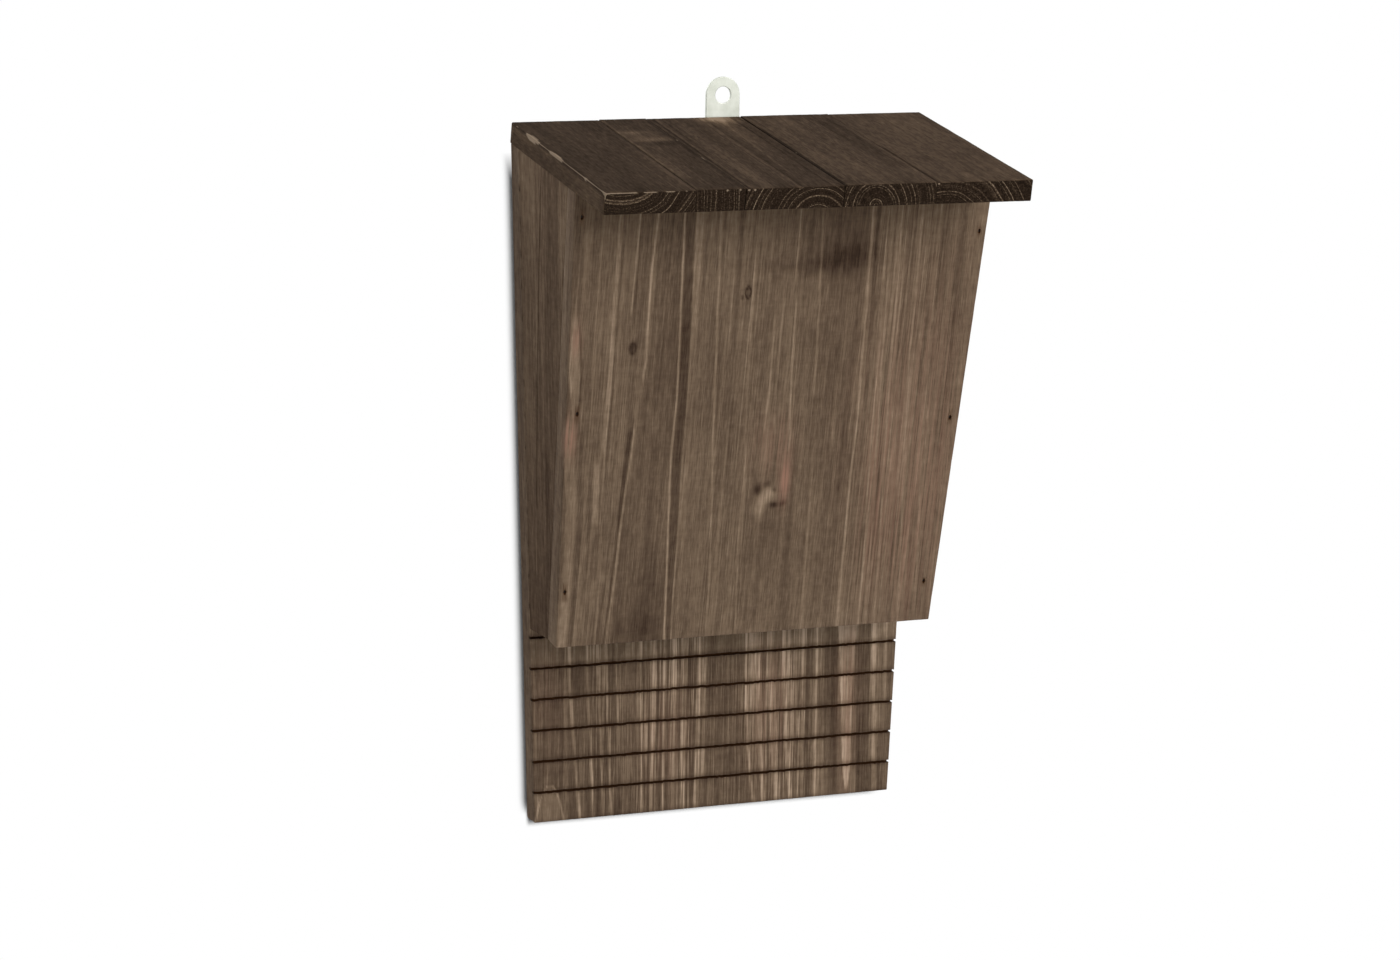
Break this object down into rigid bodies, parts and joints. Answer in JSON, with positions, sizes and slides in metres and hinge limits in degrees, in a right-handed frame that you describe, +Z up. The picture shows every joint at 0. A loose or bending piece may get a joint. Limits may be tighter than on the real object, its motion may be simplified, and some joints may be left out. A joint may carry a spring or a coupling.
{
  "type": "bat box",
  "caption": "Slim wooden wall-hung bat box with a sloping roof, tapered sides, an open slot at the bottom and a grooved landing board.",
  "frame": {"origin": "centre of the hanger's hole, in the plane of the back board's rear face", "axes": "+X to the right seen from the front, +Y into the wall, +Z up"},
  "size_m": [0.22, 0.1289, 0.37],
  "materials": {
    "stained_wood": "softwood, brown stained, sawn faces with raised grain",
    "stained_roof_wood": "softwood staves, dark brown stained, edges worn pale",
    "zinc_plated_steel": "bright zinc plate, satin",
    "dark_steel": "steel, darkened by the stain"
  },
  "bodies": {
    "root": {"back_board": "stained_wood", "front_board": "stained_wood", "side_board_left": "stained_wood", "side_board_right": "stained_wood", "roof_stave_1": "stained_roof_wood", "roof_stave_2": "stained_roof_wood", "roof_stave_3": "stained_roof_wood", "roof_stave_4": "stained_roof_wood", "roof_stave_5": "stained_roof_wood", "hanger_plate": "zinc_plated_steel", "hanger_screws": "zinc_plated_steel", "front_pins_left": "dark_steel", "front_pins_right": "dark_steel", "back_pins_left": "dark_steel", "back_pins_right": "dark_steel"}
  },
  "joints": []
}
